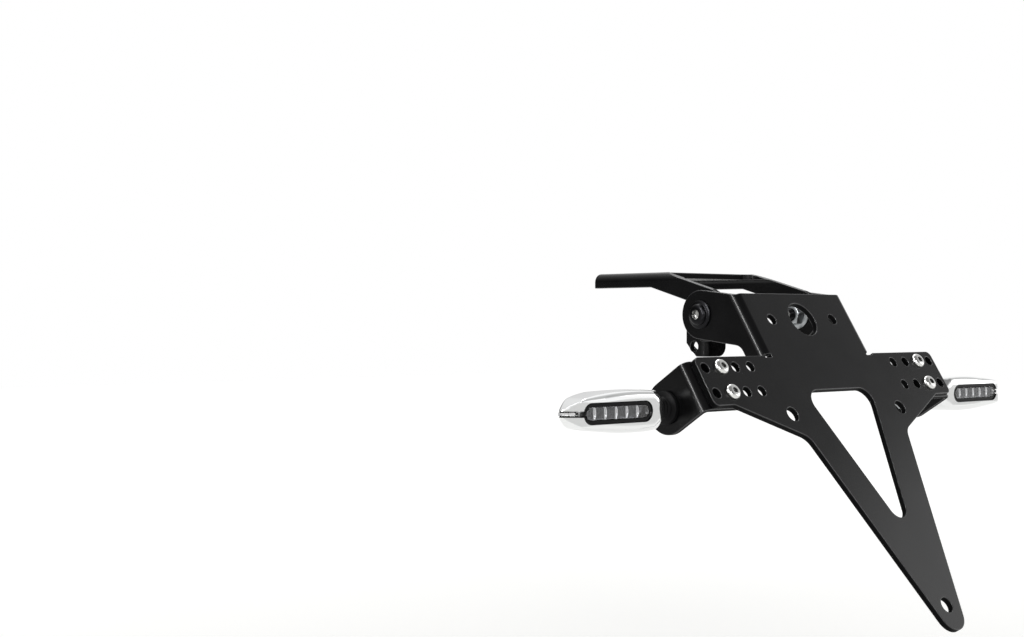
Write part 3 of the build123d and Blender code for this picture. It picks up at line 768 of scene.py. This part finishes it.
# one geometry-nodes tree seats copies of a fastener on points
def seatingTree():
    tree = bpy.data.node_groups.new("seatFasteners", "GeometryNodeTree")
    for name, kind, default in (
            ("Seats", "NodeSocketGeometry", None), ("Fastener", "NodeSocketObject", None),
            ("Finish", "NodeSocketMaterial", None), ("Millimetre", "NodeSocketFloat", millimetre),
            ("Turn", "NodeSocketFloat", 0.0), ("Seed", "NodeSocketInt", 0)):
        socket = tree.interface.new_socket(name, in_out="INPUT", socket_type=kind)
        if default is not None:
            socket.default_value = default
    tree.interface.new_socket("Fasteners", in_out="OUTPUT", socket_type="NodeSocketGeometry")
    given = addNode(tree, "NodeGroupInput").outputs
    shape = addNode(tree, "GeometryNodeObjectInfo", inputs={"Object": given["Fastener"]})
    axis = addNode(tree, "GeometryNodeInputNamedAttribute", {"data_type": "FLOAT_VECTOR"}, {
        "Name": "seatAxis"})
    upright = addNode(tree, "FunctionNodeAlignRotationToVector", {"axis": "Z"}, {
        "Vector": axis.outputs[0]})
    chance = addNode(tree, "FunctionNodeRandomValue", {"data_type": "FLOAT"}, {
        "Seed": given["Seed"]})
    turn = addNode(tree, "ShaderNodeMath", {"operation": "MULTIPLY"}, {
        0: chance.outputs[1], 1: given["Turn"]})
    spin = addNode(tree, "FunctionNodeAxisAngleToRotation", inputs={
        "Axis": (0, 0, 1), "Angle": turn.outputs[0]})
    facing = addNode(tree, "FunctionNodeRotateRotation", {"rotation_space": "LOCAL"}, {
        "Rotation": upright.outputs[0], "Rotate By": spin.outputs[0]})
    copies = addNode(tree, "GeometryNodeInstanceOnPoints", inputs={
        "Points": given["Seats"], "Instance": shape.outputs["Geometry"],
        "Rotation": facing.outputs[0], "Scale": given["Millimetre"]})
    real = addNode(tree, "GeometryNodeRealizeInstances", inputs={"Geometry": copies.outputs[0]})
    coated = addNode(tree, "GeometryNodeSetMaterial", inputs={
        "Geometry": real.outputs[0], "Material": given["Finish"]})
    addNode(tree, "NodeGroupOutput", inputs={0: coated.outputs[0]})
    return tree


seatTree = seatingTree()


def solidsOf(nodeName):
    # the corner points of each separate solid of a node
    work = mergedWork(nodeName)
    left = set(work.verts)
    solids = []
    for first in work.verts:
        if first not in left:
            continue
        left.remove(first)
        front, points = [first], []
        while front:
            corner = front.pop()
            points.append(corner.co.copy())
            for edge in corner.link_edges:
                other = edge.other_vert(corner)
                if other in left:
                    left.remove(other)
                    front.append(other)
        solids.append(points)
    work.free()
    return solids


def seatsOf(nodeName, axisAt, high):
    # seat and axis of each solid; high is how far it stands above its seat, in mm
    seats = []
    for points in solidsOf(nodeName):
        middle = sum(points, Vector()) / len(points)
        axis = axisAt(middle)
        top = max(point.dot(axis) for point in points)
        seats.append((middle + axis * (top - middle.dot(axis) - high * millimetre), axis))
    return sorted(seats, key=lambda seat: tuple(round(value, 5) for value in seat[0]))


def seatFasteners(name, mesh, seats, slot, body="holder", replaced=(), seed=0, finish=None):
    # copies of a mesh on their seats as one piece; a seed turns each copy by chance about its axis
    shape = placed(name + "Shape", mesh)
    points = bpy.data.meshes.new(name)
    points.from_pydata([seat for seat, axis in seats], [], [])
    store = points.attributes.new("seatAxis", "FLOAT_VECTOR", "POINT")
    for value, (seat, axis) in zip(store.data, seats):
        value.vector = axis
    piece = placed(name, points)
    modifier = piece.modifiers.new("seatFasteners", "NODES")
    modifier.node_group = seatTree
    given = {"Fastener": shape, "Finish": finish or finishes[slot], "Millimetre": millimetre,
             "Turn": 2 * math.pi if seed else 0.0, "Seed": seed}
    for socket in seatTree.interface.items_tree:
        if socket.name in given:
            modifier[socket.identifier] = given[socket.name]
    mesh = evaluated(piece)
    piece.modifiers.clear()
    piece.data = mesh
    bpy.data.objects.remove(shape)
    finishPiece(piece, slot, body, replaced, finish)


def awayFromMiddle(place):
    return Vector((math.copysign(1, place.x), 0, 0))


def towardsMiddle(place):
    return Vector((-math.copysign(1, place.x), 0, 0))


def outOfHolder(place):
    return rearOfHolder


def behindHolder(place):
    return -rearOfHolder


def rearward(place):
    return Vector((0, -1, 0))


m4Screw = {"radius": 2.0, "pitch": 0.7, "length": 12.0, "plainShank": 5.0, "head": (3.8, 2.2),
           "crown": 1.9, "socket": 2.5, "socketDepth": 1.2}
m4Nut = {"flats": 7.0, "height": 5.0, "bore": 2.05, "collar": 1.7, "collarRadius": 3.1}
m4Washer = {"reach": 4.5, "bore": 2.2, "thick": 0.8, "edge": 0.2}
m6Bolt = {"radius": 3.0, "pitch": 1.0, "length": 16.0, "plainShank": 7.0, "head": (5.25, 3.3),
          "crown": 2.7, "socket": 4.0, "socketDepth": 1.9, "flange": (6.8, 1.0)}
m6Nut = {"flats": 10.0, "height": 6.0, "bore": 3.05, "flange": (7.1, 1.4)}
m6Washer = {"reach": 8.0, "bore": 3.2, "thick": 1.0, "edge": 0.2}
m8Stud = {"radius": 4.0, "pitch": 1.25, "threadDepth": 0.625, "tail": 15.0, "root": 15.5,
          "bore": 2.2, "point": 0.3, "pointIn": 0.9, "threadEnd": 0.5, "shankEnd": 0.4}
m8Nut = {"flats": 13.0, "height": 6.5, "bore": 4.05}
m8Washer = {"reach": 8.0, "bore": 4.2, "thick": 1.6, "edge": 0.2}
stem = {"bore": 4.1, "flange": 7.4, "flangeThick": 2.2, "seatEdge": 0.3, "outerEdge": 0.4,
        "ribStart": 0.6, "neck": 5.0, "length": 8.5, "ribs": 3, "ribHalf": 0.3, "steps": 30}

# piece, its mesh, the node it replaces, axis, height above the seat, slot, body, seed
seating = (
    ("bracketScrews", buttonScrew("m4Screw", m4Screw), "bracket_screws",
     outOfHolder, m4Screw["head"][1], "stainless_steel", "holder", 3),
    ("bracketNuts", hexNut("m4Nut", m4Nut), "bracket_nuts",
     behindHolder, m4Nut["height"], "zinc_steel", "holder", 5),
    ("bracketWashers", flatWasher("m4Washer", m4Washer), "bracket_washers",
     behindHolder, m4Washer["thick"], "zinc_steel", "holder", 0),
    ("pivotBolts", buttonScrew("m6Bolt", m6Bolt), "pivot_bolts",
     awayFromMiddle, m6Bolt["head"][1], "black_steel", "root", 2),
    ("pivotNuts", hexNut("m6Nut", m6Nut), "pivot_nuts",
     towardsMiddle, m6Nut["height"], "zinc_steel", "root", 7),
    ("pivotWashers", flatWasher("m6Washer", m6Washer), "pivot_washers",
     awayFromMiddle, m6Washer["thick"], "nylon", "root", 0),
    ("indicatorStuds", hollowStud("m8Stud", m8Stud), "indicator_studs",
     towardsMiddle, m8Stud["tail"], "zinc_steel", "holder", 0),
    ("indicatorNuts", hexNut("m8Nut", m8Nut), "indicator_nuts",
     towardsMiddle, m8Nut["height"], "zinc_steel", "holder", 4),
    ("indicatorWashers", flatWasher("m8Washer", m8Washer), "indicator_washers",
     towardsMiddle, m8Washer["thick"], "zinc_steel", "holder", 0),
)
for name, mesh, node, axisAt, high, slot, body, seed in seating:
    seatFasteners(name, mesh, seatsOf(node, axisAt, high), slot, body, [node], seed)
stemSeats = seatsOf("indicator_stem_left", awayFromMiddle, stem["length"])
stemSeats += seatsOf("indicator_stem_right", awayFromMiddle, stem["length"])
seatFasteners("indicatorStems", ribbedStem("stem", stem), stemSeats, "rubber",
              replaced=["indicator_stem_left", "indicator_stem_right"])
print("fasteners and stems seated")


# light cells: a metallised bowl, a lamp body and its clear dome in each, and a bar between cells
cell = {
    "high": 5.1, "mouth": 2.55, "throat": 1.2, "foot": 1.3, "depth": 5.0, "shell": 0.1, "steps": 14,
    "setBack": 0.6, "rearSlack": 0.01,
    "wallHalf": 0.42, "wallHigh": 5.4, "wallFoot": 5.0, "wallBow": 0.8,
    "chip": 2.6, "chipHeight": 0.8, "chipCorner": 0.2, "chipEdge": 0.1,
    "well": 2.2, "wellCorner": 0.9, "wellDepth": 0.2, "wellDraft": 0.1,
    "dome": 0.95, "domeFoot": 0.65, "domeHeight": 1.2, "domeEdge": 0.05, "domeTop": 0.05,
}


def roundedSquare(width, corner, z, steps=4):
    points = []
    for cx, cy, first in ((1, -1, -90), (1, 1, 0), (-1, 1, 90), (-1, -1, 180)):
        for step in range(steps + 1):
            angle = math.radians(first + 90 * step / steps)
            points.append((cx * (width / 2 - corner) + corner * math.cos(angle),
                           cy * (width / 2 - corner) + corner * math.sin(angle), z))
    return points


def lightBowl(c=cell):
    # an upright trough whose side walls are parabolas from the lamp to the lens
    inside, outside = [], []
    for step in range(c["steps"] + 1):
        t = step / c["steps"]
        half = math.sqrt(c["throat"] ** 2 + (c["mouth"] ** 2 - c["throat"] ** 2) * t)
        z = c["foot"] + (c["depth"] - c["foot"]) * t
        for loops, wall in ((inside, 0), (outside, c["shell"])):
            x, y = half + wall, c["high"] / 2 + wall
            loops.append([(x, -y, z), (x, y, z), (-x, y, z), (-x, -y, z)])
    return smoothed(skin("lightBowl", inside + outside[::-1], ringClosed=True), creaseAngle=40)


def cellWall(c=cell, steps=12):
    # half-round bar between two cells, bowed a little: it draws the light into a bright line
    angles = [math.pi * i / steps for i in range(steps + 1)]
    loops = []
    for step in range(steps + 1):
        t = 2 * step / steps - 1
        bow = c["wallBow"] * (1 - t * t)
        loops.append([(bow + c["wallHalf"] * math.cos(a), t * c["wallHigh"] / 2,
                       c["wallFoot"] + c["wallHalf"] * math.sin(a)) for a in angles])
    return smoothed(skin("cellWall", loops), creaseAngle=50)


def makeReflector(side, c=cell):
    # the solid's own cells, a little further from the lens
    nodeName = "indicator_reflector_" + side
    work = mergedWork(nodeName)
    rear = min(corner.co.y for corner in work.verts)
    for corner in work.verts:
        if corner.co.y < rear + c["rearSlack"] * millimetre:
            corner.co.y += c["setBack"] * millimetre
    mesh = smoothed(meshFrom(work, nodeName + "_finished"), creaseAngle=30)
    finishPiece(placed(nodeName + "_finished", mesh), "reflector", replaced=[nodeName])


def lampBody(c=cell):
    # a square body with broken upper edges and a well for the dome
    chip, high, well = c["chip"], c["chipHeight"], c["well"]
    outline = ((chip, c["chipCorner"], 0), (chip, c["chipCorner"], high - c["chipEdge"]),
               (chip - 2 * c["chipEdge"], c["chipCorner"], high), (well, c["wellCorner"], high),
               (well - 2 * c["wellDraft"], c["wellCorner"], high - c["wellDepth"]))
    loops = [roundedSquare(width, corner, z) for width, corner, z in outline]
    return smoothed(skin("lampBody", loops), creaseAngle=40)


def lampDome(c=cell):
    # a rounded drop of silicone that stands in the well
    foot, edge = c["domeFoot"], c["domeEdge"]
    rows = [(foot, plain(c["dome"] - edge))]
    rows += domeRows((foot + edge, c["dome"]), (c["domeHeight"], c["domeTop"]))
    return turned("lampDome", rows, around=24)


for side in sides:
    ledSeats = seatsOf("indicator_leds_" + side, rearward, cell["domeHeight"])
    wallSeats = [((near[0] + far[0]) / 2, near[1]) for near, far in zip(ledSeats, ledSeats[1:])]
    makeReflector(side)
    seatFasteners("cellWalls_" + side, cellWall(), wallSeats, "reflector")
    seatFasteners("lightBowls_" + side, lightBowl(), ledSeats, "reflector", finish=darkMirror)
    seatFasteners("lampBodies_" + side, lampBody(), ledSeats, "led",
                  replaced=["indicator_leds_" + side])
    seatFasteners("lampDomes_" + side, lampDome(), ledSeats, "led", finish=clearSilicone)
for part in frame["record"]["subparts"]:  # solids that are shown as they are get their finish too
    mesh = nodes[part["node"]].data
    mesh.materials.clear()
    mesh.materials.append(finishes[part["material_slot"]])
print("light cells filled")


# floor, light and camera, in metres and watts
# the lifts are the glow that a camera sees near and far, and that mirrors see
paper = {"size": 8.0, "drop": 0.08, "colour": "#eeeeec", "roughness": 0.9, "mirrorLift": 0.22,
         "liftNear": 0.22, "liftFar": 0.62, "near": 0.25, "far": 1.3}


def makeFloor():
    half = paper["size"] / 2
    z = cadBox[0][2] - paper["drop"]
    corners = [(-half, -half, z), (half, -half, z), (half, half, z), (-half, half, z)]
    mesh = bpy.data.meshes.new("paperFloor")
    mesh.from_pydata(corners, [], [(0, 1, 2, 3)])
    floor = placed("paperFloor", mesh)
    # white seamless paper: matt, lifted to white for what looks at it straight or in a mirror
    material, tree, shader, place = startMaterial("seamlessPaper", {
        "Base Color": linear(paper["colour"]), "Roughness": paper["roughness"],
        "Emission Color": (1, 1, 1, 1)})
    path = addNode(tree, "ShaderNodeLightPath")
    away = addNode(tree, "ShaderNodeVectorMath", {"operation": "LENGTH"}, {0: place})
    lift = addNode(tree, "ShaderNodeMapRange", inputs={
        "Value": away.outputs["Value"], "From Min": paper["near"], "From Max": paper["far"],
        "To Min": paper["liftNear"], "To Max": paper["liftFar"]})
    straight = addNode(tree, "ShaderNodeMath", {"operation": "MULTIPLY"}, {
        0: path.outputs["Is Camera Ray"], 1: lift.outputs["Result"]})
    mirrored = addNode(tree, "ShaderNodeMath", {"operation": "MAXIMUM"}, {
        0: path.outputs["Is Glossy Ray"], 1: path.outputs["Is Transmission Ray"]})
    glow = addNode(tree, "ShaderNodeMath", {"operation": "MULTIPLY_ADD"}, {
        0: mirrored.outputs[0], 1: paper["mirrorLift"], 2: straight.outputs[0]})
    tree.links.new(glow.outputs[0], shader.inputs["Emission Strength"])
    mesh.materials.append(material)


# each flag darkens mirrors turned to it; edge and full are cosines of the angle to its middle
studio = {"fill": 0.5, "flags": (
    {"towards": (-0.25, 0.97, 0.0), "squash": 1.8, "edge": 0.32, "full": 0.86, "level": 0.07},
    {"towards": (0.74, -0.2, 0.65), "squash": 1.0, "edge": 0.88, "full": 0.995, "level": 0.55},
    {"towards": (-0.1, -0.6, 0.8), "squash": 1.0, "edge": 0.6, "full": 0.85, "level": 0.25})}


def makeWorld():
    # white studio; grey flags ahead, to the right and overhead give chrome and black their edges
    world = bpy.data.worlds.new("studio")
    scene.world = world
    world.use_nodes = True
    tree = world.node_tree
    tree.nodes.clear()
    path = addNode(tree, "ShaderNodeLightPath")
    seen = addNode(tree, "ShaderNodeMath", {"operation": "MAXIMUM"}, {
        0: path.outputs["Is Glossy Ray"], 1: path.outputs["Is Transmission Ray"]})
    direction = addNode(tree, "ShaderNodeTexCoord").outputs["Generated"]
    mirrored = seen
    for flag in studio["flags"]:
        squashed = addNode(tree, "ShaderNodeVectorMath", {"operation": "MULTIPLY"}, {
            0: direction, 1: (1, 1, flag["squash"])})
        unit = addNode(tree, "ShaderNodeVectorMath", {"operation": "NORMALIZE"}, {
            0: squashed.outputs[0]})
        towards = addNode(tree, "ShaderNodeVectorMath", {"operation": "DOT_PRODUCT"}, {
            0: unit.outputs[0], 1: Vector(flag["towards"]).normalized()})
        card = addNode(tree, "ShaderNodeMapRange", {"interpolation_type": "SMOOTHSTEP"}, {
            "Value": towards.outputs["Value"], "From Min": flag["edge"], "From Max": flag["full"],
            "To Min": 1.0, "To Max": flag["level"]})
        mirrored = addNode(tree, "ShaderNodeMath", {"operation": "MULTIPLY"}, {
            0: mirrored.outputs[0], 1: card.outputs["Result"]})
    lit = addNode(tree, "ShaderNodeMapRange", inputs={
        "Value": seen.outputs[0], "To Min": studio["fill"], "To Max": 0.0})
    total = addNode(tree, "ShaderNodeMath", {"operation": "ADD"}, {
        0: mirrored.outputs[0], 1: lit.outputs["Result"]})
    strength = addNode(tree, "ShaderNodeMath", {"operation": "MAXIMUM"}, {
        0: total.outputs[0], 1: path.outputs["Is Camera Ray"]})
    sky = addNode(tree, "ShaderNodeBackground", inputs={
        "Color": (1, 1, 1, 1), "Strength": strength.outputs[0]})
    addNode(tree, "ShaderNodeOutputWorld", inputs={"Surface": sky.outputs[0]})


lamps = (
    {"name": "keyBox", "from": (-0.55, -0.8, 0.35), "distance": 1.5, "size": (0.6, 0.6),
     "watts": 5},
    {"name": "sideBox", "from": (0.85, -0.55, 0.25), "distance": 1.7, "size": (0.7, 0.9),
     "watts": 3},
    {"name": "topStrip", "from": (0.1, 0.5, 1.0), "distance": 1.3, "size": (1.2, 0.3), "watts": 5},
    {"name": "bendStrip", "from": (-0.887, -0.054, 0.46), "distance": 1.3, "size": (0.07, 1.0),
     "watts": 16, "upright": (0.0, 0.537, 0.843),  # stands along the folds of the sheet
     "glossOnly": True},
)


def makeLamp(lamp):
    # a soft box that faces the middle of the object
    light = bpy.data.lights.new(lamp["name"], "AREA")
    light.shape = "RECTANGLE"
    light.size, light.size_y = lamp["size"]
    light.energy = lamp["watts"]
    stand = placed(lamp["name"], light)
    middle = (Vector(cadBox[0]) + Vector(cadBox[1])) / 2
    towards = Vector(lamp["from"]).normalized()
    stand.location = middle + towards * lamp["distance"]
    stand.visible_diffuse = not lamp.get("glossOnly", False)
    upright = Vector(lamp.get("upright", (0, 0, 1)))
    upright = (upright - towards * upright.dot(towards)).normalized()
    facing = Matrix((upright.cross(towards), upright, towards)).transposed()
    stand.rotation_euler = facing.to_euler()


# fitted to the photo
photoView = {"place": (-0.5729, -0.5444, -0.0231), "along": (0.6456, 0.7637, 0.0),
             "focalPixels": 1500, "imageWidth": 1024, "sensor": 36.0, "clipStart": 0.01}


def makeCamera():
    data = bpy.data.cameras.new("photoCamera")
    data.sensor_width = photoView["sensor"]
    data.lens = photoView["focalPixels"] / photoView["imageWidth"] * photoView["sensor"]
    data.clip_start = photoView["clipStart"]
    camera = placed("photoCamera", data)
    camera.location = photoView["place"]
    camera.rotation_euler = Vector(photoView["along"]).to_track_quat("-Z", "Y").to_euler()
    scene.camera = camera


makeFloor()
makeWorld()
for lamp in lamps:
    makeLamp(lamp)
makeCamera()
scene.view_settings.view_transform = "Standard"
print("stage, light and camera set")
